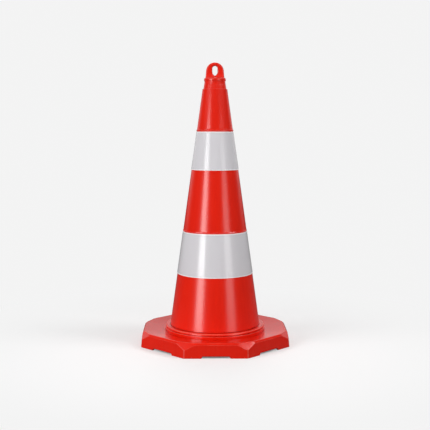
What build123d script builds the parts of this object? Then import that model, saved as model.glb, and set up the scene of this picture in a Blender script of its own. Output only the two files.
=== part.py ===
"""A 750 mm traffic cone in two separable parts: a weighted octagonal base, and a hollow cone
that drops into the base's collar, with two reflective sleeves and a lifting eye in its top."""
from build123d import *
import math
import os

# ------------------------------------------------------------------ driving sizes, in mm
# The origin is the middle of the footprint on the ground, +Z is up, and the eye's hole runs along Y.
total_height = 750.0

# Base: a regular octagon with flats across X and Y.
sides = 8
foot_apothem = 196.6
side_draft = 5.0
side_height = 34.0
edge_rise = 4.5
edge_slope = 49.0
corner_radius = 10.0
corner_cut_height = 22.0
corner_cut_apothem = 209.7
corner_cut_slope = 40.7
skirt_wall = 6.0
plate_underside = 28.5
cavity_corner_radius = 25.0
notch_width = 74.5
notch_height = 5.3
notch_slant = 3.0
notch_cut_reach = 18.0

# Collar and socket for the cone's foot.
collar_radius = 127.3
collar_top = 47.0
collar_round = 2.4
collar_shoulder_radius = 133.3
collar_shoulder_round = 5.6
collar_ring_radius = 134.5
collar_ring_top = 40.4
collar_ring_round = 1.0
dish_floor = 31.8
dish_radius = 187.0
ledge_underside = 8.0
ledge_top = 12.0
ledge_inner_radius = 108.0

# Stiffening ribs between the ballast and the skirt.
rib_thickness = 4.0
rib_inner_radius = 178.5
rib_corner_reach = 201.5
rib_side_reach = 190.0
rib_underside = 9.0
rib_overlap = 0.5

# Cone: a straight spigot in the socket, a small shoulder, then one taper up to the open rim.
spigot_radius = 119.8
spigot_clearance = 0.4
foot_gap = 0.3
shoulder_height = 1.2
taper_foot = 48.0
taper_foot_radius = 121.0
rim_radius = 33.15
rim_height = 680.0
cone_wall = 2.5
rim_round = 1.0

# Reflective sleeves and the locating bead above each one.
upper_sleeve_foot = 466.0
upper_sleeve_top = 567.5
lower_sleeve_foot = 187.0
lower_sleeve_top = 301.0
sleeve_thickness = 0.9
stretch_fit = 0.05
bead_gap = 1.0
bead_height = 3.0
bead_rise = 0.9

# Lifting eye: a wedge plug inside the rim, a tapered neck, a bead and a flat eye.
plug_foot = 640.0
plug_wall = 2.6
neck_top_radius = 27.7
neck_top = 700.0
cap_bead_radius = 29.1
cap_bead_foot = 701.5
cap_bead_top = 708.5
cap_bead_round = 2.8
cap_hollow_top = 692.0
eye_radius = 23.6
eye_foot_half_width = 25.4
eye_foot = 703.0
eye_thickness = 14.0
eye_tuck = 0.1
eye_round = 3.2
hole_half_width = 6.8
hole_top = 740.8
hole_waist = 721.5
hole_foot = 713.5
hole_point_round = 2.0
hole_side_round = 5.0
hole_round = 2.4
edge_margin = 1.0

# Ballast: a heavy ring pressed onto the socket wall, under the plate.
ballast_outer_radius = 177.0
ballast_foot = 6.5
ballast_press = 0.2
ballast_chamfer = 2.0

# ------------------------------------------------------------------ sizes that follow
side_step = 360.0 / sides
half_step = side_step / 2
taper_rate = (taper_foot_radius - rim_radius) / (rim_height - taper_foot)
wall_across = cone_wall * math.sqrt(1 + taper_rate**2)
crest_height = side_height + edge_rise
side_top_apothem = foot_apothem - side_height * math.tan(math.radians(side_draft))
corner_cut_rate = math.tan(math.radians(corner_cut_slope))
socket_radius = spigot_radius + spigot_clearance


def cone_radius(height):
    """Outer radius of the cone's taper at a height."""
    return rim_radius + taper_rate * (rim_height - height)


def octagon(apothem, rounding, turn=half_step):
    """A regular octagon with rounded corners, drawn in the current sketch."""
    RegularPolygon(radius=apothem, side_count=sides, major_radius=False, rotation=turn)
    fillet(vertices(), radius=rounding)


# ------------------------------------------------------------------ base
with BuildPart() as base:
    # Solid block: drafted sides, then the sloped top edge.
    with BuildSketch(Plane.XY):
        octagon(foot_apothem, corner_radius)
    extrude(amount=side_height, taper=side_draft)
    with BuildSketch(Plane.XY.offset(side_height)):
        octagon(side_top_apothem, corner_radius)
    extrude(amount=edge_rise, taper=edge_slope)
    # Each top corner is cut back by one sloping facet.
    with BuildSketch(Plane.XY):
        RegularPolygon(
            radius=corner_cut_apothem + corner_cut_height * corner_cut_rate,
            side_count=sides,
            major_radius=False,
            rotation=0,
        )
    extrude(amount=collar_top, taper=corner_cut_slope, mode=Mode.INTERSECT)
    # The plate dishes gently down towards the collar.
    with BuildSketch(Plane.XZ):
        Polygon(
            (0, dish_floor),
            (collar_radius, dish_floor),
            (dish_radius, crest_height),
            (0, crest_height),
            align=None,
        )
    revolve(axis=Axis.Z, mode=Mode.SUBTRACT)
    # Open underside.
    with BuildSketch(Plane.XY):
        octagon(foot_apothem - skirt_wall, cavity_corner_radius)
    extrude(amount=plate_underside, taper=side_draft + 2, mode=Mode.SUBTRACT)
    # The way through the middle, then the collar above the plate and the socket wall below it.
    with BuildSketch(Plane.XY):
        Circle((socket_radius + collar_radius) / 2)
    extrude(amount=collar_top, mode=Mode.SUBTRACT)
    with BuildSketch(Plane.XZ):
        Polygon(
            (ledge_inner_radius, ledge_underside),
            (collar_radius, ledge_underside),
            (collar_radius, plate_underside),
            (collar_ring_radius, plate_underside),
            (collar_ring_radius, collar_ring_top),
            (collar_shoulder_radius, collar_ring_top),
            (collar_shoulder_radius, collar_top),
            (socket_radius, collar_top),
            (socket_radius, ledge_top),
            (ledge_inner_radius, ledge_top),
            align=None,
        )
        outer_step = vertices().group_by(Axis.X)[-1].sort_by(Axis.Y)[-1]
        fillet(outer_step, radius=collar_ring_round)
        shoulder = vertices().group_by(Axis.Y)[-1].sort_by(Axis.X)[-1]
        fillet(shoulder, radius=collar_shoulder_round)
        mouth = vertices().group_by(Axis.Y)[-1].sort_by(Axis.X)[0]
        fillet(mouth, radius=collar_round)
    revolve(axis=Axis.Z)
    # One short rib at each corner and each side, outside the ballast.
    for index in range(2 * sides):
        reach = rib_corner_reach if index % 2 else rib_side_reach
        with Locations(Rotation(0, 0, index * half_step)):
            with Locations(((rib_inner_radius + reach) / 2, 0, rib_underside)):
                Box(
                    reach - rib_inner_radius,
                    rib_thickness,
                    plate_underside - rib_underside + rib_overlap,
                    align=(Align.CENTER, Align.CENTER, Align.MIN),
                )
    # A shallow notch in the middle of each side leaves a foot at each corner.
    for index in range(sides):
        turn = math.radians(index * side_step)
        outward = Vector(math.cos(turn), math.sin(turn), 0)
        along = Vector(-math.sin(turn), math.cos(turn), 0)
        inner_face = Plane(origin=outward * (foot_apothem - notch_cut_reach), x_dir=along, z_dir=outward)
        with BuildSketch(inner_face):
            Polygon(
                (-notch_width / 2, 0),
                (notch_width / 2, 0),
                (notch_width / 2 - notch_slant, notch_height),
                (-notch_width / 2 + notch_slant, notch_height),
                align=None,
            )
        extrude(amount=notch_cut_reach + skirt_wall, mode=Mode.SUBTRACT)
base.part.label = "base"

# ------------------------------------------------------------------ ballast ring
with BuildPart() as ballast_ring:
    with BuildSketch(Plane.XY.offset(ballast_foot)):
        Circle(ballast_outer_radius)
        Circle(collar_radius - ballast_press, mode=Mode.SUBTRACT)
    extrude(amount=plate_underside - foot_gap - ballast_foot)
    chamfer(ballast_ring.edges().filter_by(GeomType.CIRCLE), length=ballast_chamfer)
ballast_ring.part.label = "ballast_ring"


# ------------------------------------------------------------------ cone body
def bead_points(foot):
    """Outline of the locating bead that starts at a height, on the cone's outer face."""
    top = foot + bead_height
    return [
        (cone_radius(top), top),
        (cone_radius(top) + bead_rise, top - bead_rise),
        (cone_radius(foot) + bead_rise, foot + bead_rise),
        (cone_radius(foot), foot),
    ]


with BuildPart() as cone_body:
    with BuildSketch(Plane.XZ):
        Polygon(
            (spigot_radius - wall_across, ledge_top + foot_gap),
            (spigot_radius - wall_across, taper_foot - shoulder_height),
            (taper_foot_radius - wall_across, taper_foot),
            (rim_radius - wall_across, rim_height),
            (rim_radius, rim_height),
            *bead_points(upper_sleeve_top + bead_gap),
            *bead_points(lower_sleeve_top + bead_gap),
            (taper_foot_radius, taper_foot),
            (spigot_radius, taper_foot - shoulder_height),
            (spigot_radius, ledge_top + foot_gap),
            align=None,
        )
        fillet(vertices().group_by(Axis.Y)[-1].sort_by(Axis.X)[-1], radius=rim_round)
    revolve(axis=Axis.Z)
cone_body.part.label = "cone_body"


# ------------------------------------------------------------------ reflective sleeves
def sleeve_points(foot, top):
    """Outline of a thin sleeve stretched over the cone between two heights."""
    return [
        (cone_radius(foot) - stretch_fit, foot),
        (cone_radius(foot) + sleeve_thickness, foot),
        (cone_radius(top) + sleeve_thickness, top),
        (cone_radius(top) - stretch_fit, top),
    ]


with BuildPart() as upper_sleeve:
    with BuildSketch(Plane.XZ):
        Polygon(*sleeve_points(upper_sleeve_foot, upper_sleeve_top), align=None)
    revolve(axis=Axis.Z)
upper_sleeve.part.label = "upper_sleeve"

with BuildPart() as lower_sleeve:
    with BuildSketch(Plane.XZ):
        Polygon(*sleeve_points(lower_sleeve_foot, lower_sleeve_top), align=None)
    revolve(axis=Axis.Z)
lower_sleeve.part.label = "lower_sleeve"

# ------------------------------------------------------------------ eyelet cap
with BuildPart() as eyelet_cap:
    # Flat eye: a round head on straight, slightly spreading sides.
    with BuildSketch(Plane.XZ):
        with Locations((0, total_height - eye_radius)):
            Circle(eye_radius)
        Polygon(
            (-eye_foot_half_width, eye_foot),
            (eye_foot_half_width, eye_foot),
            (eye_radius - eye_tuck, total_height - eye_radius),
            (eye_tuck - eye_radius, total_height - eye_radius),
            align=None,
        )
    extrude(amount=eye_thickness / 2, both=True)
    face_edges = eyelet_cap.faces().filter_by(Axis.Y).edges()
    fillet(face_edges.filter_by_position(Axis.Z, eye_foot + edge_margin, total_height), radius=eye_round)
    # Its hole is round at the top and narrows to a point at the foot.
    with BuildSketch(Plane.XZ):
        with BuildLine():
            head = CenterArc((0, hole_top - hole_half_width), hole_half_width, 0, 180)
            Polyline(
                head @ 1,
                (-hole_half_width, hole_waist),
                (0, hole_foot),
                (hole_half_width, hole_waist),
                head @ 0,
            )
        make_face()
        fillet(vertices().group_by(Axis.Y)[0], radius=hole_point_round)
        fillet(vertices().group_by(Axis.Y)[1], radius=hole_side_round)
    extrude(amount=eye_thickness, both=True, mode=Mode.SUBTRACT)
    face_edges = eyelet_cap.faces().filter_by(Axis.Y).edges()
    hole_reach = hole_half_width + edge_margin
    hole_edges = face_edges.filter_by_position(Axis.X, -hole_reach, hole_reach)
    hole_edges = hole_edges.filter_by_position(Axis.Z, hole_foot - edge_margin, hole_top + edge_margin)
    fillet(hole_edges, radius=hole_round)
    # Wedge plug against the inside of the cone, neck through the rim, rounded bead.
    with BuildSketch(Plane.XZ):
        Polygon(
            (0, plug_foot),
            (cone_radius(plug_foot) - wall_across + stretch_fit, plug_foot),
            (rim_radius - wall_across + stretch_fit, rim_height),
            (neck_top_radius, neck_top),
            (cap_bead_radius, cap_bead_foot),
            (cap_bead_radius, cap_bead_top),
            (0, cap_bead_top),
            align=None,
        )
        fillet(vertices().group_by(Axis.X)[-3], radius=cap_bead_round)
    revolve(axis=Axis.Z)
    # Hollow from below.
    with BuildSketch(Plane.XZ):
        Polygon(
            (0, plug_foot),
            (cone_radius(plug_foot) - wall_across - plug_wall, plug_foot),
            (rim_radius - wall_across - plug_wall, rim_height),
            (neck_top_radius - plug_wall, cap_hollow_top),
            (0, cap_hollow_top),
            align=None,
        )
    revolve(axis=Axis.Z, mode=Mode.SUBTRACT)
eyelet_cap.part.label = "eyelet_cap"

# ------------------------------------------------------------------ files
os.makedirs("parts", exist_ok=True)
for piece in (base, ballast_ring, cone_body, upper_sleeve, lower_sleeve, eyelet_cap):
    export_step(piece.part, f"parts/{piece.part.label}.step")
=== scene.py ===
"""Looks of a two-part traffic cone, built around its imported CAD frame.

A weighted octagonal base carries a hollow cone in its collar. Two reflective sleeves are
stretched over the cone, and a cap with a flat lifting eye closes its top. Lengths are metres.
"""

import logging
import math
from dataclasses import dataclass, field
from enum import Enum
from functools import lru_cache
from typing import Sequence

import bmesh
import bpy
from mathutils import Matrix, Vector


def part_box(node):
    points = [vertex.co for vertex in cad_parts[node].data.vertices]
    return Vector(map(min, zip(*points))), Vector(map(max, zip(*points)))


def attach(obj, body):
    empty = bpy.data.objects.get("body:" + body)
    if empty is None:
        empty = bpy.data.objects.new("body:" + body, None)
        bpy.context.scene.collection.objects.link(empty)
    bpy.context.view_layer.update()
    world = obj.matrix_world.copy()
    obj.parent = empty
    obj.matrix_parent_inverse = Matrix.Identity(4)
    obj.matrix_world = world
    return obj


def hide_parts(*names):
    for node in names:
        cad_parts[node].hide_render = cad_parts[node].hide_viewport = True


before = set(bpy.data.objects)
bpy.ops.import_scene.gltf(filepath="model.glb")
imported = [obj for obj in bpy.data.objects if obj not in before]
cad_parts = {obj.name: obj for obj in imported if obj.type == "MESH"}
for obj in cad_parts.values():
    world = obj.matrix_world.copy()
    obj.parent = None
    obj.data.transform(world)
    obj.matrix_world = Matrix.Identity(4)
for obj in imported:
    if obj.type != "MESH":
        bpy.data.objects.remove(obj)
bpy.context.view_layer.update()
LOG = logging.getLogger("traffic_cone")
# The per-point mark: above 0 pale rubbed wear that also paints a highlight on the edge, under 0 painted
# shade in a crease.
WEAR_SHEEN_AND_SHADE = "edge_marks"
FLAT_SHEET = "flat_sheet"
MERGE_DISTANCE = 1e-7
TINY = 1e-6
Colour = tuple[float, float, float]
# One point of a section: how far out, how high, and its mark.
SectionPoint = tuple[float, float, float]
RED: Colour = (0.86, 0.0150, 0.0022)
DEEP_RED: Colour = (0.80, 0.0115, 0.0015)
BASE_RED: Colour = (0.85, 0.0135, 0.0020)
DEEP_BASE_RED: Colour = (0.79, 0.0105, 0.0014)


class Body(Enum):
    """The CAD bodies that pieces ride on."""

    BASE = "base"
    CONE = "cone"


class Slot(Enum):
    """The record's material slots."""

    BASE = "red_base"
    CONE = "red_cone"
    CAP = "red_cap"
    SLEEVE = "reflective_white"
    BALLAST = "ballast_rubber"


class Touch(Enum):
    """What use leaves on a corner, and the light painted on it, as the mark that the plastic's finish
    reads: pale rubs that also paint the edge's highlight, or painted shade in a crease.
    """

    CLEAN = 0.0
    # Pale rubbed wear, which also paints a highlight on the edge.
    RUBBED_SHEEN = 1.0
    # Painted shade in a crease.
    SHADED = -1.0


@lru_cache
def cad_box(node: str) -> tuple[Vector, Vector]:
    """The lowest and highest corner of a CAD node."""
    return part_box(node)


# --------------------------------------------------------------------------- shader maths


class Signal:
    """A shader socket that takes part in Python arithmetic."""

    def __init__(self, graph: "NodeGraph", socket: bpy.types.NodeSocket) -> None:
        """Wraps a socket.

        Args:
            graph: The graph that the socket is in.
            socket: The output socket.
        """
        self.graph = graph
        self.socket = socket

    def _maths(self, operation: str, *values: "Signal | float") -> "Signal":
        """Adds one Math node over the given values."""
        return self.graph.node("ShaderNodeMath", {"operation": operation}, dict(enumerate(values)))

    def __add__(self, other: "Signal | float") -> "Signal":
        """The sum."""
        return self._maths("ADD", self, other)

    def __sub__(self, other: "Signal | float") -> "Signal":
        """The difference."""
        return self._maths("SUBTRACT", self, other)

    def __rsub__(self, other: float) -> "Signal":
        """The difference, the other way round."""
        return self._maths("SUBTRACT", other, self)

    def __mul__(self, other: "Signal | float") -> "Signal":
        """The product."""
        return self._maths("MULTIPLY", self, other)

    __radd__ = __add__
    __rmul__ = __mul__

    def least(self, other: "Signal | float") -> "Signal":
        """The smaller of two values."""
        return self._maths("MINIMUM", self, other)

    def most(self, other: "Signal | float") -> "Signal":
        """The larger of two values."""
        return self._maths("MAXIMUM", self, other)

    def cosine(self) -> "Signal":
        """The cosine."""
        return self._maths("COSINE", self)

    def between(self, low: float, high: float) -> "Signal":
        """A smooth step from 0 at low to 1 at high.

        Args:
            low: Where the step starts.
            high: Where the step ends; it may be under low.

        Returns:
            The stepped value.
        """
        settings = {"interpolation_type": "SMOOTHSTEP"}
        inputs = {"Value": self, "From Min": low, "From Max": high}
        return self.graph.node("ShaderNodeMapRange", settings, inputs)


class NodeGraph:
    """A node tree of shaders, emptied and given its output."""

    def __init__(self, owner: bpy.types.Material | bpy.types.World) -> None:
        """Empties the owner's tree.

        Args:
            owner: The material or world.
        """
        owner.use_nodes = True
        self.tree = owner.node_tree
        self.tree.nodes.clear()
        world = isinstance(owner, bpy.types.World)
        kind = "ShaderNodeOutputWorld" if world else "ShaderNodeOutputMaterial"
        self.output = self.tree.nodes.new(kind)

    def plug(self, socket: bpy.types.NodeSocket, value: object) -> None:
        """Links a signal to an input socket, or sets the socket's own value.

        Args:
            socket: The input socket.
            value: A signal, a number or a colour.
        """
        if isinstance(value, Signal):
            self.tree.links.new(value.socket, socket)
        elif isinstance(value, tuple) and socket.type == "RGBA":
            socket.default_value = (*value, 1.0)
        else:
            socket.default_value = value

    def node(self, kind: str, settings: dict, inputs: dict, output: str | int = 0) -> Signal:
        """Adds one node.

        Args:
            kind: The node's type.
            settings: Its properties, which are set first.
            inputs: Values or signals by socket name or index.
            output: The output socket's name or index.

        Returns:
            The chosen output.
        """
        made = self.tree.nodes.new(kind)
        for key, value in settings.items():
            setattr(made, key, value)
        for key, value in inputs.items():
            self.plug(made.inputs[key], value)
        return Signal(self, made.outputs[output])

    def coordinates(self) -> Signal:
        """Object coordinates."""
        return self.node("ShaderNodeTexCoord", {}, {}, "Object")

    def attribute(self, name: str) -> Signal:
        """A number that a piece stores at each of its points."""
        return self.node("ShaderNodeAttribute", {"attribute_name": name}, {}, "Fac")

    def parts(self, vector: Signal) -> tuple[Signal, Signal, Signal]:
        """The three parts of a vector."""
        split = self.node("ShaderNodeSeparateXYZ", {}, {0: vector})
        outputs = split.socket.node.outputs
        return Signal(self, outputs[0]), Signal(self, outputs[1]), Signal(self, outputs[2])

    def noise(self, vector: Signal, scale: float, detail: float = 2.0, rough: float = 0.5) -> Signal:
        """Smooth noise from 0 to 1.

        Args:
            vector: The coordinates.
            scale: Features for each metre.
            detail: Octaves.
            rough: How much the finer octaves count.

        Returns:
            The noise value.
        """
        inputs = {"Vector": vector, "Scale": scale, "Detail": detail, "Roughness": rough}
        return self.node("ShaderNodeTexNoise", {}, inputs, "Fac")

    def stretched(self, vector: Signal, scale: Colour) -> Signal:
        """Coordinates scaled apart along X, Y and Z."""
        return self.node("ShaderNodeMapping", {}, {"Vector": vector, "Scale": Vector(scale)})

    def mixed(self, share: Signal | float, first: Signal | Colour, second: Signal | Colour) -> Signal:
        """A colour between two colours.

        Args:
            share: How much of the second, from 0 to 1.
            first: The colour at 0.
            second: The colour at 1.

        Returns:
            The mixed colour.
        """
        settings = {"data_type": "RGBA"}
        return self.node("ShaderNodeMix", settings, {0: share, 6: first, 7: second}, 2)

    def finish(self, shader: Signal) -> None:
        """Shows a shader as the tree's surface."""
        self.plug(self.output.inputs["Surface"], shader)


class ShaderGraph(NodeGraph):
    """The node tree of one material, with its Principled shader."""

    def __init__(self, name: str) -> None:
        """Starts a material.

        Args:
            name: The material's name.
        """
        self.material = bpy.data.materials.new(name)
        super().__init__(self.material)
        self.shader = self.tree.nodes.new("ShaderNodeBsdfPrincipled")
        self.finish(Signal(self, self.shader.outputs["BSDF"]))

    def bumped(self, height: Signal, depth: float, strength: float = 1.0) -> None:
        """Feeds the shader's normal from a height.

        Args:
            height: Height from 0 to 1.
            depth: What a height of 1 stands for.
            strength: How strongly the bump counts.
        """
        inputs = {"Height": height, "Distance": depth, "Strength": strength}
        self.feed(Normal=self.node("ShaderNodeBump", {}, inputs, "Normal"))

    def feed(self, **values: object) -> None:
        """Sets or links the Principled shader's inputs, with _ for a space in a name."""
        for name, value in values.items():
            self.plug(self.shader.inputs[name.replace("_", " ")], value)


# --------------------------------------------------------------------------- finishes


@dataclass(frozen=True)
class MouldedPlastic:
    """Red polyethylene as it comes from the mould, with light handling marks, pale edge rubs that also
    paint edge highlights, and painted shade in creases.
    """

    name: str
    colour: Colour
    deep_colour: Colour
    # Pale scuff colour, which on the edges also stands in for a painted highlight.
    scuff_and_sheen_colour: Colour = (0.86, 0.20, 0.13)
    # Dark red of the painted shade in creases and the hole's walls.
    painted_shade_colour: Colour = (0.16, 0.008, 0.005)
    roughness: float = 0.21
    # How much of the pale scuff colour shows, rubbed wear and painted edge highlight together.
    scuff_and_sheen_share: float = 0.22

    def make(self) -> bpy.types.Material:
        """Builds the material.

        Returns:
            The finished material.
        """
        graph = ShaderGraph(self.name)
        place = graph.coordinates()
        drift = graph.noise(place, 7.0, 3.0)
        flow = graph.noise(graph.stretched(place, (1.0, 1.0, 0.06)), 130.0, 3.0)
        tint = (drift * 0.6 + flow * 0.4).between(0.35, 0.7)
        clean = graph.mixed(tint, self.colour, self.deep_colour)
        # A mark over 0 is a rubbed edge, and its pale rubs, which gather on the edges, also paint a
        # highlight there; under 0 it is painted shade in a crease.
        patches = graph.noise(place, 34.0, 4.0, 0.65)
        grain = graph.noise(graph.stretched(place, (1.0, 1.0, 0.35)), 620.0, 3.0, 0.7)
        mark = graph.attribute(WEAR_SHEEN_AND_SHADE)
        edge_marks = mark.most(0.0)
        # Painted shade: darker red where the mark is under 0, in creases, grooves and the hole's walls.
        painted_shade = ((0.0 - mark) * (0.12 + patches * 0.45 + grain * 0.2)).most(0.0).least(0.85)
        # Edge rubs: wear that also paints a highlight on the rounded edges, strongest on the base.
        edge = (edge_marks * 0.55 + patches * 0.6 + grain * 0.35).between(0.86, 1.06)
        rubs = (patches * 0.62 + grain * 0.38).between(0.60, 0.70)
        scuffs_and_sheen = (edge + rubs * 0.45).least(1.0)
        specks = graph.noise(place, 900.0, 1.0).between(0.74, 0.80)
        marks = (scuffs_and_sheen * self.scuff_and_sheen_share + specks * 0.12).least(1.0)
        scuffed_and_sheened = graph.mixed(marks, clean, self.scuff_and_sheen_colour)
        graph.feed(
            Base_Color=graph.mixed(painted_shade, scuffed_and_sheened, self.painted_shade_colour),
            Roughness=self.roughness + flow * 0.04 + scuffs_and_sheen * 0.12 + edge_marks * 0.12 + painted_shade * 0.3,
            Specular_IOR_Level=0.5,
            IOR=1.5,
        )
        peel = graph.noise(place, 260.0, 2.0)
        graph.bumped(peel * 0.5 + flow * 0.6 + grain * 0.12 - scuffs_and_sheen * 0.2, 0.00012, 0.5)
        return graph.material


@dataclass(frozen=True)
class ReflectiveFilm:
    """Retroreflective sheeting: fine sealed cells under a clear glossy film, with plain hems."""

    name: str
    foot: float
    top: float
    hem: float = 0.0032
    cell_pitch: float = 0.0036
    colour: Colour = (0.73, 0.707, 0.74)
    seam_colour: Colour = (0.76, 0.75, 0.77)
    hem_colour: Colour = (0.90, 0.89, 0.90)

    def _cells(self, graph: ShaderGraph) -> Signal:
        """Lines between six-sided cells, drawn on the flat sheet."""
        sheet = graph.node("ShaderNodeUVMap", {"uv_map": FLAT_SHEET}, {}, "UV")
        across, along, _ = graph.parts(sheet)
        turn = 4.0 * math.pi / (math.sqrt(3.0) * self.cell_pitch)
        first = (across * turn).cosine()
        half, rise = turn * 0.5, turn * math.sqrt(3.0) / 2.0
        second = (across * half + along * rise).cosine()
        third = (across * half - along * rise).cosine()
        return (first + second + third).between(-0.35, -0.8)

    def make(self) -> bpy.types.Material:
        """Builds the material.

        Returns:
            The finished material.
        """
        graph = ShaderGraph(self.name)
        place = graph.coordinates()
        _, _, height = graph.parts(place)
        from_edge = (height - self.foot).least(self.top - height)
        hem = from_edge.between(self.hem, self.hem * 0.75)
        lines = self._cells(graph) * (1.0 - hem)
        cloud = graph.noise(place, 22.0, 4.0, 0.6)
        fine = graph.noise(place, 1500.0, 2.0)
        film = graph.mixed(cloud.between(0.35, 0.7) * 0.35, self.colour, self.seam_colour)
        film = graph.mixed(lines * 0.5, film, self.seam_colour)
        rubs = (graph.noise(place, 48.0, 4.0, 0.7) * 0.7 + fine * 0.3).between(0.60, 0.72)
        graph.feed(
            Base_Color=graph.mixed(hem, film, self.hem_colour),
            Roughness=0.17 + cloud * 0.05 + rubs * 0.08 + hem * 0.1,
            Metallic=0.0,
            Coat_Weight=0.22,
            Coat_Roughness=0.12,
            IOR=1.5,
        )
        graph.bumped(lines * 0.8 + fine * 0.15 + cloud * 0.6, 0.00008, 0.5)
        return graph.material


@dataclass(frozen=True)
class CrumbRubber:
    """Dark rubber pressed from recycled crumb."""

    name: str
    colour: Colour = (0.022, 0.021, 0.021)
    crumb_colour: Colour = (0.06, 0.058, 0.056)

    def make(self) -> bpy.types.Material:
        """Builds the material.

        Returns:
            The finished material.
        """
        graph = ShaderGraph(self.name)
        place = graph.coordinates()
        crumbs = graph.node("ShaderNodeTexVoronoi", {}, {"Vector": place, "Scale": 300.0}, "Distance")
        patches = graph.noise(place, 60.0, 4.0)
        graph.feed(
            Base_Color=graph.mixed(patches.between(0.4, 0.7), self.colour, self.crumb_colour),
            Roughness=0.78 + patches * 0.15,
        )
        graph.bumped(crumbs + patches, 0.0006)
        return graph.material


# --------------------------------------------------------------------------- shapes


@dataclass(frozen=True)
class Corner:
    """One corner of a section: how far out, how high, how round, and its marks on and beside it."""

    reach: float
    height: float
    round: float = 0.0
    steps: int = 2
    touch: Touch = Touch.CLEAN
    beside: tuple[float, float] = (0.0, 0.0)


def rounded(corners: Sequence[Corner], closed: bool = True) -> list[SectionPoint]:
    """Rounds the corners of a section.

    Args:
        corners: The corners in order.
        closed: Whether the last corner joins the first.

    Returns:
        Points as reach, height and mark, always as many for the same steps.
    """
    points: list[SectionPoint] = []
    count = len(corners)
    for index, corner in enumerate(corners):
        here = Vector((corner.reach, corner.height))
        ends = not closed and index in (0, count - 1)
        if corner.round <= 0 or ends:
            points.append((corner.reach, corner.height, 0.0))
            continue
        before = corners[index - 1]
        after = corners[(index + 1) % count]
        back = Vector((before.reach, before.height)) - here
        on = Vector((after.reach, after.height)) - here
        half_angle = max(back.angle(on) / 2, 0.05)
        back_room = 0.9 * back.length * corner.round / (corner.round + before.round)
        on_room = 0.9 * on.length * corner.round / (corner.round + after.round)
        set_back = min(corner.round / math.tan(half_angle), back_room, on_room)
        support = min(set_back * 0.6, 0.045 * back.length, 0.045 * on.length)
        start = here + back.normalized() * set_back
        end = here + on.normalized() * set_back
        lead = here + back.normalized() * (set_back + support)
        trail = here + on.normalized() * (set_back + support)
        leading, trailing = corner.beside
        points.append((lead.x, lead.y, leading))
        for step in range(corner.steps + 1):
            share = step / corner.steps
            arc = start * (1 - share) ** 2 + here * 2 * share * (1 - share) + end * share**2
            mark = math.sin(math.pi * share) * corner.touch.value
            level = leading * (1 - share) + trailing * share
            points.append((arc.x, arc.y, max(mark, level, key=abs)))
        points.append((trail.x, trail.y, trailing))
    return points


def add_to_scene(name: str, data: bpy.types.ID) -> bpy.types.Object:
    """Adds an object with the given data to the scene."""
    made = bpy.data.objects.new(name, data)
    bpy.context.scene.collection.objects.link(made)
    return made


def as_object(shape: bmesh.types.BMesh, name: str, sharp: float = 40.0) -> bpy.types.Object:
    """Makes an object from a finished shape.

    Args:
        shape: The shape, which is freed.
        name: The object's name.
        sharp: The angle in degrees from which an edge stays sharp.

    Returns:
        The object, at the origin.
    """
    mesh = bpy.data.meshes.new(name)
    shape.to_mesh(mesh)
    shape.free()
    mesh.shade_smooth()
    mesh.set_sharp_from_angle(angle=math.radians(sharp))
    return add_to_scene(name, mesh)


def spun(points: Sequence[SectionPoint], segments: int, closed: bool = True) -> bmesh.types.BMesh:
    """Spins a section round the upright axis.

    Args:
        points: The section's points.
        segments: Steps in the full turn.
        closed: Whether the section's ends join.

    Returns:
        The shape.
    """
    shape = bmesh.new()
    layer = shape.verts.layers.float.new(WEAR_SHEEN_AND_SHADE)
    verts = []
    for reach, height, mark in points:
        vert = shape.verts.new((reach, 0.0, height))
        vert[layer] = mark
        verts.append(vert)
    edges = [shape.edges.new(pair) for pair in zip(verts, verts[1:])]
    if closed:
        edges.append(shape.edges.new((verts[-1], verts[0])))
    bmesh.ops.spin(
        shape,
        geom=verts + edges,
        cent=(0, 0, 0),
        axis=(0, 0, 1),
        angle=2 * math.pi,
        steps=segments,
        use_merge=True,
        use_duplicate=False,
    )
    bmesh.ops.remove_doubles(shape, verts=shape.verts, dist=MERGE_DISTANCE)
    bmesh.ops.recalc_face_normals(shape, faces=shape.faces)
    return shape


def wrapped(sections: Sequence[Sequence[tuple[Vector, float]]]) -> bmesh.types.BMesh:
    """Lays a net over a ring of closed sections and stitches its edges.

    Args:
        sections: Closed sections of equally many points, each a place and its mark.

    Returns:
        The shape.
    """
    columns, rows = len(sections), len(sections[0])
    shape = bmesh.new()
    bmesh.ops.create_grid(shape, x_segments=columns, y_segments=rows, size=1.0)
    layer = shape.verts.layers.float.new(WEAR_SHEEN_AND_SHADE)
    half = max(vert.co.x for vert in shape.verts)
    for vert in shape.verts:
        column = round((vert.co.x / half + 1) / 2 * columns) % columns
        row = round((vert.co.y / half + 1) / 2 * rows) % rows
        vert.co, vert[layer] = sections[column][row]
    bmesh.ops.remove_doubles(shape, verts=shape.verts, dist=MERGE_DISTANCE)
    bmesh.ops.recalc_face_normals(shape, faces=shape.faces)
    return shape


def soft_least(first: float, second: float, blend: float) -> float:
    """The smaller of two values, with the change between them rounded off."""
    share = max(blend - abs(first - second), 0.0) / blend
    return min(first, second) - share * share * blend / 4


def dress(piece: bpy.types.Object, material: bpy.types.Material, body: Body) -> None:
    """Gives a piece its material and body, and reports it.

    Args:
        piece: The finished piece.
        material: Its material.
        body: The CAD body that it rides on.
    """
    piece.data.materials.clear()
    piece.data.materials.append(material)
    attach(piece, body.value)
    LOG.info("%s: %d faces, rides on %s", piece.name, len(piece.data.polygons), body.value)


# --------------------------------------------------------------------------- base


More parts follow.
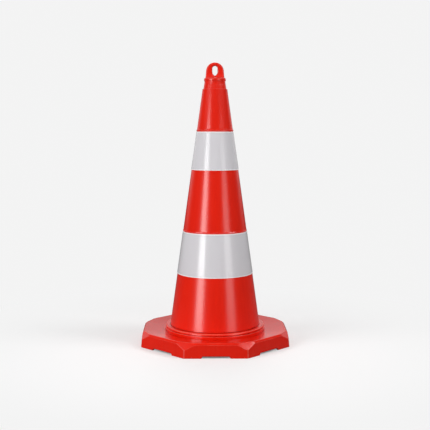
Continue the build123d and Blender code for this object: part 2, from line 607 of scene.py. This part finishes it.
@dataclass
class WeightedBase:
    """The octagonal base moulding, its ribs and the ballast ring under its plate."""

    plastic: bpy.types.Material
    rubber: bpy.types.Material
    sides: int = 8
    foot_apothem: float = 0.1966
    draft: float = math.radians(5.0)
    side_height: float = 0.034
    crest_height: float = 0.0385
    crest_apothem: float = 0.1888
    corner_radius: float = 0.010
    # Width and falloff of the rubbed wear and painted highlight down each rounded corner.
    wear_and_sheen_width: float = 0.008
    wear_and_sheen_falloff: float = 1.5
    cut_apothem: float = 0.2286
    cut_rate: float = math.tan(math.radians(40.7))
    side_blend: float = 0.0016
    crest_blend: float = 0.0015
    wall: float = 0.006
    extra_inner_draft: float = math.radians(2)
    cavity_round: float = 0.025
    underside: float = 0.0285
    notch_half_width: float = 0.03725
    notch_height: float = 0.0053
    notch_slant: float = 0.003
    before_notch_edge: float = 0.002
    after_notch_edge: float = 0.001
    facet_start: float = 0.046
    facet_end: float = 0.060
    corner_zone: float = 0.009
    dish_floor: float = 0.0318
    ring_radius: float = 0.1345
    ring_top: float = 0.0398
    ring_foot_groove: float = 0.0010
    groove_radius: float = 0.1312
    groove_height: float = 0.0018
    shoulder_radius: float = 0.1334
    shoulder_round: float = 0.0058
    collar_radius: float = 0.1273
    socket_radius: float = 0.1202
    ledge_top: float = 0.012
    ledge_foot: float = 0.008
    ledge_radius: float = 0.108
    rib_thickness: float = 0.004
    rib_start: float = 0.1785
    rib_side_end: float = 0.190
    rib_corner_end: float = 0.2015
    rib_foot: float = 0.009
    rib_overlap: float = 0.0005
    rib_round: float = 0.0008

    @property
    def half_step(self) -> float:
        """Half the angle between two sides."""
        return math.pi / self.sides

    def _octagon(self, offset: float, apothem: float, radius: float) -> float:
        """How far the rounded octagon reaches at an angle from a side's middle."""
        from_corner = self.half_step - abs(offset)
        centre = (apothem - radius) / math.cos(self.half_step)
        flat_end = math.atan((apothem - radius) * math.tan(self.half_step) / apothem)
        if abs(offset) <= flat_end:
            return apothem / math.cos(offset)
        across = centre * math.sin(from_corner)
        return centre * math.cos(from_corner) + math.sqrt(radius**2 - across**2)

    def _offsets(self) -> list[float]:
        """Angles of the columns over one side, closest where the shape changes."""
        half_side = self.foot_apothem * math.tan(self.half_step)
        slant_start = self.notch_half_width - self.notch_slant
        notch_end = self.notch_half_width + self.after_notch_edge
        stretches = (
            (0.0, slant_start - self.before_notch_edge, 5),
            (slant_start - self.before_notch_edge, notch_end, 6),
            (notch_end, self.facet_start, 3),
            (self.facet_start, self.facet_end, 7),
            (self.facet_end, half_side - self.corner_zone, 3),
            (half_side - self.corner_zone, half_side, 7),
        )
        reaches = [
            low + (high - low) * step / count for low, high, count in stretches for step in range(count)
        ]
        one_way = [math.atan(reach / self.foot_apothem) for reach in reaches]
        return [-angle for angle in reversed(one_way[1:])] + one_way + [self.half_step]

    def _foot(self, offset: float) -> float:
        """Height of the skirt's lower edge: zero on a foot, raised in a notch."""
        along = abs(self.foot_apothem * math.tan(offset))
        share = (self.notch_half_width - along) / self.notch_slant
        return self.notch_height * min(max(share, 0.0), 1.0)

    def _side_top(self, offset: float) -> float:
        """Height of the side face's upper edge, lower at a corner's facet."""
        lean = math.cos(self.half_step - abs(offset))
        low = self._octagon(offset, self.foot_apothem, self.corner_radius)
        high_apothem = self.foot_apothem - self.side_height * math.tan(self.draft)
        high = self._octagon(offset, high_apothem, self.corner_radius)
        side_rate = (low - high) / self.side_height
        facet = (self.cut_apothem / lean - low) / (self.cut_rate / lean - side_rate)
        return soft_least(self.side_height, facet, self.side_blend)

    def _crest(self, offset: float) -> float:
        """How far out the plate's crest is, closer in at a corner's facet."""
        facet = self.cut_apothem - self.crest_height * self.cut_rate
        straight = self.crest_apothem / math.cos(offset)
        return soft_least(straight, facet / math.cos(self.half_step - abs(offset)), self.crest_blend)

    def _corner_wear_and_sheen(self, offset: float) -> float:
        """How strongly the side is marked at an angle with rubbed wear and a painted highlight on the
        rounded corner: fully at a corner, not at all on the flat.
        """
        from_corner = self.foot_apothem * (math.tan(self.half_step) - math.tan(abs(offset)))
        return max(1.0 - from_corner / self.wear_and_sheen_width, 0.0) ** self.wear_and_sheen_falloff

    def _section(self, offset: float) -> list[SectionPoint]:
        """The base's section at an angle from a side's middle."""
        foot = self._foot(offset)
        side_top = self._side_top(offset)
        corner_wear_and_sheen = self._corner_wear_and_sheen(offset)
        slope = math.tan(self.draft)
        inner_slope = math.tan(self.draft + self.extra_inner_draft)
        inner = self.foot_apothem - self.wall
        collar_top = cad_box("base")[1].z
        return rounded(
            [
                Corner(self._octagon(offset, inner - foot * inner_slope, self.cavity_round), foot, 0.0008),
                # The skirt's edges and rounded corners carry rubbed wear that also paints their
                # highlights.
                Corner(
                    self._octagon(offset, self.foot_apothem - foot * slope, self.corner_radius),
                    foot, 0.0012, 3, Touch.RUBBED_SHEEN, (0.0, corner_wear_and_sheen),
                ),
                Corner(
                    self._octagon(offset, self.foot_apothem - side_top * slope, self.corner_radius),
                    side_top, 0.0022, 5, Touch.RUBBED_SHEEN, (corner_wear_and_sheen, 0.0),
                ),
                Corner(self._crest(offset), self.crest_height, 0.0030, 5, Touch.RUBBED_SHEEN),
                # Painted shade in the groove at the collar's foot and between the collar's rings.
                Corner(
                    self.ring_radius + self.ring_foot_groove, self.dish_floor,
                    0.0006, 2, Touch.CLEAN, (0.0, -1.0),
                ),
                Corner(
                    self.ring_radius, self.dish_floor - self.ring_foot_groove,
                    0.0004, 2, Touch.SHADED, (-1.0, -0.25),
                ),
                Corner(self.ring_radius, self.ring_top, 0.0018, 5, Touch.RUBBED_SHEEN),
                Corner(self.groove_radius, self.ring_top, 0.0005, 2, Touch.SHADED, (-0.8, -0.8)),
                Corner(
                    self.groove_radius, self.ring_top + self.groove_height,
                    0.0005, 2, Touch.SHADED, (-0.8, -0.8),
                ),
                Corner(self.shoulder_radius, self.ring_top + self.groove_height, 0.0006, 2),
                Corner(self.shoulder_radius, collar_top, self.shoulder_round, 8, Touch.RUBBED_SHEEN),
                # Painted shade inside the socket's mouth, where the cone sits.
                Corner(self.socket_radius, collar_top, 0.0024, 5, Touch.CLEAN, (0.0, -1.4)),
                Corner(self.socket_radius, self.ledge_top, 0.0008),
                Corner(self.ledge_radius, self.ledge_top, 0.0008),
                Corner(self.ledge_radius, self.ledge_foot, 0.0008),
                Corner(self.collar_radius, self.ledge_foot, 0.0008),
                Corner(self.collar_radius, self.underside, 0.002),
                Corner(
                    self._octagon(offset, inner - self.underside * inner_slope, self.cavity_round),
                    self.underside, 0.004, 3,
                ),
            ]
        )

    def moulding(self) -> bpy.types.Object:
        """Builds the base moulding as one closed shell.

        Returns:
            The piece.
        """
        sections = []
        for side in range(self.sides):
            middle = side * 2 * self.half_step
            for offset in self._offsets():
                angle = middle + offset
                out = Vector((math.cos(angle), math.sin(angle), 0.0))
                section = self._section(offset)
                sections.append(
                    [(out * reach + Vector((0, 0, height)), mark) for reach, height, mark in section]
                )
        piece = as_object(wrapped(sections), "base_moulding", 50.0)
        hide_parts("base")
        return piece

    def ribs(self) -> bpy.types.Object:
        """Builds the short ribs between the ballast ring and the skirt.

        Returns:
            The piece.
        """
        shape = bmesh.new()
        shape.verts.layers.float.new(WEAR_SHEEN_AND_SHADE)
        top = self.underside + self.rib_overlap
        for index in range(2 * self.sides):
            at_corner = index % 2 == 1
            end = self.rib_corner_end if at_corner else self.rib_side_end
            made = bmesh.ops.create_cube(shape, size=1.0)["verts"]
            size = Vector((end - self.rib_start, self.rib_thickness, top - self.rib_foot))
            middle = Vector(((end + self.rib_start) / 2, 0, (top + self.rib_foot) / 2))
            bmesh.ops.scale(shape, verts=made, vec=size)
            bmesh.ops.translate(shape, verts=made, vec=middle)
            bmesh.ops.rotate(
                shape, verts=made, cent=(0, 0, 0), matrix=Matrix.Rotation(index * self.half_step, 3, "Z")
            )
        bmesh.ops.bevel(
            shape,
            geom=shape.edges[:],
            offset=self.rib_round,
            segments=2,
            profile=0.5,
            affect="EDGES",
            material=-1,
        )
        return as_object(shape, "base_ribs")

    def ballast(self) -> bpy.types.Object:
        """Builds the ballast ring on its CAD node's box.

        Returns:
            The piece.
        """
        low, high = cad_box("ballast_ring")
        inner, outer = self.collar_radius, high.x
        corners = [
            Corner(inner, low.z, 0.002, 3),
            Corner(outer, low.z, 0.003, 3),
            Corner(outer, high.z, 0.003, 3),
            Corner(inner, high.z, 0.002, 3),
        ]
        piece = as_object(spun(rounded(corners), 128), "ballast")
        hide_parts("ballast_ring")
        return piece

    def build(self) -> None:
        """Builds and dresses the whole base."""
        dress(self.moulding(), self.plastic, Body.BASE)
        dress(self.ribs(), self.plastic, Body.BASE)
        dress(self.ballast(), self.rubber, Body.BASE)


# --------------------------------------------------------------------------- cone


@dataclass
class Taper:
    """The cone's straight outer face, from the shoulder over its spigot to its rim."""

    spigot_radius: float = 0.1198
    shoulder: float = 0.0012
    foot_height: float = 0.048
    foot_radius: float = 0.1210
    rim_height: float = 0.680
    rim_radius: float = 0.03315

    @property
    def rate(self) -> float:
        """How much the radius shrinks for each metre of height."""
        return (self.foot_radius - self.rim_radius) / (self.rim_height - self.foot_height)

    def radius(self, height: float) -> float:
        """The outer radius at a height."""
        return self.rim_radius + self.rate * (self.rim_height - height)


@dataclass
class HollowCone:
    """The hollow cone body, with a locating lip above each sleeve."""

    plastic: bpy.types.Material
    taper: Taper
    wall: float = 0.0025
    segments: int = 192
    lips: tuple[tuple[str, float, float], ...] = (
        ("upper_sleeve", 0.0050, 0.0017),
        ("lower_sleeve", 0.0036, 0.0008),
    )
    lip_gap: float = 0.0011
    lip_crown: float = 0.45
    # Painted shade where the cone's foot meets the collar.
    foot_shade: float = -1.4

    def _lip(self, sleeve: str, height: float, rise: float) -> list[Corner]:
        """The lip above one sleeve, from its upper end down."""
        foot = cad_box(sleeve)[1].z + self.lip_gap
        crown = foot + height * self.lip_crown
        return [
            Corner(self.taper.radius(foot + height), foot + height, 0.001, 3),
            Corner(self.taper.radius(crown) + rise, crown, 0.0022, 6, Touch.RUBBED_SHEEN),
            # Painted shade in the dark line under the lip.
            Corner(self.taper.radius(foot), foot, 0.0006, 2, Touch.SHADED, (-1.0, 0.0)),
        ]

    def build(self) -> None:
        """Builds and dresses the cone body."""
        low, high = cad_box("cone_body")
        taper = self.taper
        across = self.wall * math.hypot(1.0, taper.rate)
        spigot_top = taper.foot_height - taper.shoulder
        corners = [
            Corner(taper.spigot_radius - across, low.z, 0.0006),
            Corner(taper.spigot_radius - across, spigot_top, 0.001, 3),
            Corner(taper.foot_radius - across, taper.foot_height, 0.001, 3),
            Corner(taper.rim_radius - across, high.z, 0.0008, 3),
            Corner(taper.rim_radius, high.z, 0.0012, 4, Touch.RUBBED_SHEEN),
            *self._lip(*self.lips[0]),
            *self._lip(*self.lips[1]),
            # Painted shade in the crease between the cone and the collar.
            Corner(taper.foot_radius, taper.foot_height, 0.0008, 3, Touch.SHADED, (0.0, self.foot_shade)),
            Corner(taper.spigot_radius, spigot_top, 0.0008, 3, Touch.SHADED, (self.foot_shade, 0.0)),
            Corner(taper.spigot_radius, low.z, 0.0008, 2, Touch.RUBBED_SHEEN),
        ]
        piece = as_object(spun(rounded(corners), self.segments), "cone_shell")
        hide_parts("cone_body")
        dress(piece, self.plastic, Body.CONE)


@dataclass
class ReflectiveSleeve:
    """One reflective sleeve: a film stretched over the cone, welded down its back."""

    node: str
    taper: Taper
    thickness: float = 0.0009
    tuck: float = 0.00004
    hem: float = 0.0032
    groove: float = 0.00022
    groove_outside: float = 0.0005
    groove_inside: float = 0.0006
    field_dip: float = 0.00008
    seam_inset: float = 0.0002
    seam_sink: float = 0.0003
    seam_width: float = 0.013
    seam_thickness: float = 0.00045
    segments: int = 192

    def _face(self, height: float, lift: float) -> float:
        """Radius of the film's outer face at a height, with a lift above the cone."""
        return self.taper.radius(height) + lift

    def _film(self, foot: float, top: float) -> bpy.types.Object:
        """The film, with a pressed line inside each hem."""
        outer = self.thickness
        pressed, dipped = outer - self.groove, outer - self.field_dip
        low_line, high_line = foot + self.hem, top - self.hem
        corners = [
            Corner(self._face(foot, -self.tuck), foot),
            Corner(self._face(foot, outer), foot, 0.0004, 3, Touch.RUBBED_SHEEN),
            Corner(self._face(low_line, outer), low_line - self.groove_outside, 0.0004, 2),
            Corner(self._face(low_line, pressed), low_line, 0.0004, 2),
            Corner(self._face(low_line, dipped), low_line + self.groove_inside, 0.0004, 2),
            Corner(self._face(high_line, dipped), high_line - self.groove_inside, 0.0004, 2),
            Corner(self._face(high_line, pressed), high_line, 0.0004, 2),
            Corner(self._face(high_line, outer), high_line + self.groove_outside, 0.0004, 2),
            Corner(self._face(top, outer), top, 0.0004, 3, Touch.RUBBED_SHEEN),
            Corner(self._face(top, -self.tuck), top),
        ]
        piece = as_object(spun(rounded(corners), self.segments), self.node + "_film")
        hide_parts(self.node)
        return piece

    def _seam(self, foot: float, top: float) -> bpy.types.Object:
        """The overlap strip down the back."""
        low, high = foot + self.seam_inset, top - self.seam_inset
        inner = self.thickness - self.seam_sink
        outer = self.thickness + self.seam_thickness
        corners = [
            Corner(self._face(low, inner), low),
            Corner(self._face(low, outer), low, 0.0003, 2),
            Corner(self._face(high, outer), high, 0.0003, 2),
            Corner(self._face(high, inner), high),
        ]
        shape = spun(rounded(corners), self.segments * 2)
        half = self.seam_width / 2
        cuts = (((half, 0, 0), (1, 0, 0)), ((-half, 0, 0), (-1, 0, 0)), ((0, 0, 0), (0, -1, 0)))
        for point, normal in cuts:
            geometry = shape.verts[:] + shape.edges[:] + shape.faces[:]
            bmesh.ops.bisect_plane(shape, geom=geometry, plane_co=point, plane_no=normal, clear_outer=True)
        open_edges = [edge for edge in shape.edges if edge.is_boundary]
        bmesh.ops.holes_fill(shape, edges=open_edges, sides=0)
        bmesh.ops.recalc_face_normals(shape, faces=shape.faces)
        return as_object(shape, self.node + "_seam")

    def _unroll(self, piece: bpy.types.Object) -> None:
        """Maps a piece onto the flat sheet that the film was cut from."""
        taper = self.taper
        apex = taper.rim_height + taper.rim_radius / taper.rate
        lean = math.atan(taper.rate)
        layer = piece.data.uv_layers.new(name=FLAT_SHEET)
        for loop in piece.data.loops:
            place = piece.data.vertices[loop.vertex_index].co
            slant = (apex - place.z) / math.cos(lean)
            turn = math.atan2(place.x, -place.y) * math.sin(lean)
            layer.data[loop.index].uv = (slant * math.sin(turn), slant * math.cos(turn))

    def build(self) -> None:
        """Builds and dresses the film and its seam."""
        low, high = cad_box(self.node)
        material = ReflectiveFilm(self.node + "_reflective", low.z, high.z, self.hem).make()
        for piece in (self._film(low.z, high.z), self._seam(low.z, high.z)):
            self._unroll(piece)
            dress(piece, material, Body.CONE)


@dataclass
class LiftingCap:
    """The cap in the cone's rim: wedge plug, neck, bead and flat eye."""

    plastic: bpy.types.Material
    taper: Taper
    cone_wall: float = 0.0025
    plug_wall: float = 0.0026
    rim_fit: float = 0.00005
    neck_step_radius: float = 0.0290
    neck_step_depth: float = 0.00035
    neck_step: float = 0.6912
    neck_top_radius: float = 0.0277
    neck_top: float = 0.7003
    bead_radius: float = 0.0290
    bead_top: float = 0.7092
    bead_round: float = 0.0036
    bead_gap: float = 0.0006
    hollow_top: float = 0.692
    eye_radius: float = 0.0236
    eye_foot_half_width: float = 0.0256
    eye_foot: float = 0.704
    eye_half_thickness: float = 0.007
    flare: float = 0.0030
    hole_half_width: float = 0.0068
    hole_top: float = 0.7408
    hole_waist: float = 0.7215
    hole_foot: float = 0.7135
    hole_floor: float = 0.0016
    # Painted shade on the hole's inner walls.
    hole_shade: float = -1.3
    point_blend: float = 0.003
    floor_blend: float = 0.002
    foot_blend: float = 0.001
    columns: int = 144

    @property
    def middle(self) -> float:
        """Height of the eye's middle."""
        return cad_box("eyelet_cap")[1].z - self.eye_radius

    def _neck(self) -> bmesh.types.BMesh:
        """The plug, neck and bead, hollow from below."""
        low = cad_box("eyelet_cap")[0].z
        across = self.cone_wall * math.hypot(1.0, self.taper.rate)
        rim = self.taper.rim_height
        plug_radius = self.taper.radius(low) - across
        corners = [
            Corner(0.0, self.hollow_top),
            Corner(self.neck_top_radius - self.plug_wall, self.hollow_top, 0.002, 2),
            Corner(self.taper.rim_radius - across - self.plug_wall, rim, 0.002, 2),
            Corner(plug_radius - self.plug_wall, low, 0.0006),
            Corner(plug_radius + self.rim_fit, low, 0.0006),
            Corner(self.taper.rim_radius - across + self.rim_fit, rim, 0.002, 2),
            Corner(self.neck_step_radius, self.neck_step, 0.0004, 3, Touch.RUBBED_SHEEN),
            Corner(self.neck_step_radius - self.neck_step_depth, self.neck_step + 0.0004, 0.0004, 3),
            # Painted shade under the bead.
            Corner(self.neck_top_radius, self.neck_top, 0.0006, 3, Touch.SHADED),
            Corner(self.bead_radius, self.neck_top + self.bead_gap, self.bead_round, 6, Touch.RUBBED_SHEEN),
            Corner(self.bead_radius, self.bead_top, self.bead_round, 6, Touch.RUBBED_SHEEN),
            Corner(0.0, self.bead_top),
        ]
        return spun(rounded(corners, closed=False), 128, closed=False)

    def _hole(self, angle: float) -> float:
        """Reach from the eye's middle to the hole's edge, at an angle from straight up."""
        middle = self.middle
        sideways, upward = abs(math.sin(angle)), math.cos(angle)
        head = self.hole_top - self.hole_half_width - middle
        to_side = self.hole_half_width / max(sideways, TINY)
        if upward > 0 and to_side * upward > head:
            return head * upward + math.sqrt(self.hole_half_width**2 - (head * sideways) ** 2)
        point = Vector((self.hole_waist - self.hole_foot, self.hole_half_width)).normalized()
        depth = (middle - self.hole_foot) * point.y
        facing = sideways * point.x - upward * point.y
        to_point = depth / facing if facing > TINY else 1.0
        # A small flat floor takes the sharpness off the hole's lower point.
        to_floor = (middle - self.hole_foot - self.hole_floor) / -upward if upward < -TINY else 1.0
        return soft_least(soft_least(to_side, to_point, self.point_blend), to_floor, self.floor_blend)

    def _outline(self, angle: float) -> float:
        """Reach from the eye's middle to its outer edge, at an angle from straight up."""
        middle = self.middle
        sideways, upward = abs(math.sin(angle)), math.cos(angle)
        if upward > -TINY:
            return self.eye_radius
        depth = middle - self.eye_foot
        spread = (self.eye_foot_half_width - self.eye_radius) / depth
        facing = sideways + upward * spread
        to_side = self.eye_radius / facing if facing > 1e-3 else 1.0
        return soft_least(to_side, depth / -upward, self.foot_blend)

    def _eye(self) -> bmesh.types.BMesh:
        """The flat eye, as a ring of rounded sections round its hole."""
        middle = self.middle
        half = self.eye_half_thickness
        sections = []
        for column in range(self.columns):
            angle = 2 * math.pi * column / self.columns
            inner, outer = self._hole(angle), self._outline(angle)
            corners = [
                # The hole's walls carry painted shade.
                Corner(inner, -half, 0.0034, 6, Touch.CLEAN, (self.hole_shade, 0.0)),
                Corner(outer, -half, 0.0048, 6, Touch.RUBBED_SHEEN),
                Corner(outer, half, 0.0048, 6, Touch.RUBBED_SHEEN),
                Corner(inner, half, 0.0034, 6, Touch.CLEAN, (0.0, self.hole_shade)),
            ]
            section = []
            for reach, depth, mark in rounded(corners):
                place = Vector((math.sin(angle) * reach, depth, middle + math.cos(angle) * reach))
                low_share = min(max((middle - place.z) / (middle - self.eye_foot), 0.0), 1.0)
                place.y *= 1 + self.flare / half * low_share**2
                section.append((place, mark))
            sections.append(section)
        return wrapped(sections)

    def build(self) -> None:
        """Builds and dresses the cap."""
        shape = self._neck()
        eye = self._eye()
        mesh = bpy.data.meshes.new("eye")
        eye.to_mesh(mesh)
        eye.free()
        shape.from_mesh(mesh)
        bpy.data.meshes.remove(mesh)
        piece = as_object(shape, "lifting_cap", 50.0)
        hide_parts("eyelet_cap")
        dress(piece, self.plastic, Body.CONE)


# --------------------------------------------------------------------------- studio


@dataclass(frozen=True)
class Softbox:
    """One soft rectangular light aimed at the cone."""

    name: str
    azimuth: float
    distance: float
    height: float
    width: float
    tall: float
    power: float
    aim_height: float = 0.35
    colour: Colour = (1.0, 1.0, 1.0)

    def place(self) -> None:
        """Adds the light; azimuth 0 is in front of the cone, on the -Y side."""
        data = bpy.data.lights.new(self.name, "AREA")
        data.shape = "RECTANGLE"
        data.size = self.width
        data.size_y = self.tall
        data.energy = self.power
        data.color = self.colour
        lamp = add_to_scene(self.name, data)
        turn = math.radians(self.azimuth)
        place = Vector((math.sin(turn) * self.distance, -math.cos(turn) * self.distance, self.height))
        lamp.location = place
        lamp.rotation_euler = (place - Vector((0, 0, self.aim_height))).to_track_quat("Z", "Y").to_euler()
        lamp.visible_camera = False


@dataclass
class Studio:
    """Pale floor, soft lights, surroundings and camera."""

    camera_distance: float = 2.2842
    camera_height: float = 0.5745
    camera_tilt: float = math.radians(5.78)
    camera_turn: float = math.radians(-0.78)
    lens: float = 71.16
    sensor_width: float = 36.0
    shift_x: float = 0.0002
    floor_size: float = 400.0
    floor_glow: float = 0.38
    floor_paint: float = 0.62
    floor_dark: float = 0.18
    floor_near: float = 0.25
    floor_far: float = 0.80
    floor_under: float = 0.180
    floor_shade_edge: float = 0.015
    floor_shade: float = 0.75
    backdrop: float = 0.90
    behind: float = 0.62
    around: float = 0.10
    above: float = 0.14
    lights: tuple[Softbox, ...] = field(
        default_factory=lambda: (
            Softbox("left_strip", -42.5, 2.5, 0.60, 0.88, 1.26, 31.0),
            Softbox("right_strip", 42.5, 2.5, 0.56, 0.98, 1.14, 10.4),
            Softbox("high_right", 75.0, 2.5, 2.4, 1.1, 1.1, 41.0),
            Softbox("high_left", -70.0, 2.5, 2.2, 1.1, 1.1, 25.0),
            Softbox("high_front", 4.0, 1.9, 2.0, 2.4, 0.7, 7.5),
            Softbox("high_back", 180.0, 2.3, 2.6, 1.3, 1.0, 18.0),
        )
    )

    def _floor(self) -> None:
        """A wide pale floor that the camera sees evenly lit up to the horizon."""
        shape = bmesh.new()
        bmesh.ops.create_grid(shape, x_segments=1, y_segments=1, size=self.floor_size / 2)
        floor = as_object(shape, "floor")
        material = bpy.data.materials.new("floor_paint")
        graph = NodeGraph(material)
        seen = graph.node("ShaderNodeLightPath", {}, {}, "Is Camera Ray")
        length = {"operation": "LENGTH"}
        distance = graph.node("ShaderNodeVectorMath", length, {0: graph.coordinates()}, "Value")
        # Under the base the floor lies in shade.
        shade_end = self.floor_under + self.floor_shade_edge
        shade = distance.between(shade_end, self.floor_under) * self.floor_shade
        glow = graph.node("ShaderNodeEmission", {}, {"Strength": (1.0 - shade) * self.floor_glow})
        paint = (self.floor_paint,) * 3
        shaded = graph.node("ShaderNodeBsdfDiffuse", {}, {"Color": paint})
        near = graph.node("ShaderNodeAddShader", {}, {0: glow, 1: shaded})
        # Far off the floor runs into the backdrop.
        far = graph.node("ShaderNodeEmission", {}, {"Strength": self.backdrop})
        share = distance.between(self.floor_near, self.floor_far)
        pale = graph.node("ShaderNodeMixShader", {}, {0: share, 1: near, 2: far})
        dark = graph.node("ShaderNodeBsdfDiffuse", {}, {"Color": (self.floor_dark,) * 3})
        graph.finish(graph.node("ShaderNodeMixShader", {}, {0: seen, 1: dark, 2: pale}))
        floor.data.materials.append(material)

    def _surroundings(self) -> None:
        """A pale backdrop behind the cone, a soft glow above it, and a dim room around it."""
        world = bpy.data.worlds.new("studio")
        bpy.context.scene.world = world
        graph = NodeGraph(world)
        towards = graph.node("ShaderNodeTexCoord", {}, {}, "Generated")
        _, back, up = graph.parts(towards)
        level = self.around + back.between(0.3, 0.75) * (self.behind - self.around)
        level = level.most(up.between(0.35, 0.85) * self.above)
        seen = graph.node("ShaderNodeLightPath", {}, {}, "Is Camera Ray")
        strength = level * (1.0 - seen) + seen * self.backdrop
        inputs = {"Color": (1.0, 1.0, 1.0), "Strength": strength}
        graph.finish(graph.node("ShaderNodeBackground", {}, inputs))

    def _camera(self) -> None:
        """The camera, in front of the cone and a little above its middle."""
        data = bpy.data.cameras.new("camera")
        data.lens = self.lens
        data.sensor_width = self.sensor_width
        data.shift_x = self.shift_x
        camera = add_to_scene("camera", data)
        turn = self.camera_turn
        camera.location = (
            math.sin(turn) * self.camera_distance,
            -math.cos(turn) * self.camera_distance,
            self.camera_height,
        )
        camera.rotation_euler = (math.pi / 2 - self.camera_tilt, 0.0, turn)
        bpy.context.scene.camera = camera

    def build(self) -> None:
        """Sets the whole studio up."""
        self._floor()
        self._surroundings()
        for light in self.lights:
            light.place()
        self._camera()
        bpy.context.scene.view_settings.view_transform = "Standard"


def main() -> None:
    """Builds the pieces in order, then the studio."""
    logging.basicConfig(level=logging.INFO, format="%(name)s: %(message)s")
    # The base's higher scuff share also paints the bright highlights on its corners and edges.
    red_base = MouldedPlastic(
        "red_base_plastic", BASE_RED, DEEP_BASE_RED, roughness=0.15, scuff_and_sheen_share=0.46
    ).make()
    red_cone = MouldedPlastic("red_cone_plastic", RED, DEEP_RED).make()
    red_cap = MouldedPlastic("red_cap_plastic", RED, DEEP_RED, roughness=0.23).make()
    rubber = CrumbRubber("ballast_crumb_rubber").make()
    taper = Taper()
    WeightedBase(red_base, rubber).build()
    HollowCone(red_cone, taper).build()
    for node in ("upper_sleeve", "lower_sleeve"):
        ReflectiveSleeve(node, taper).build()
    LiftingCap(red_cap, taper).build()
    Studio().build()


if __name__ == "__main__":
    main()
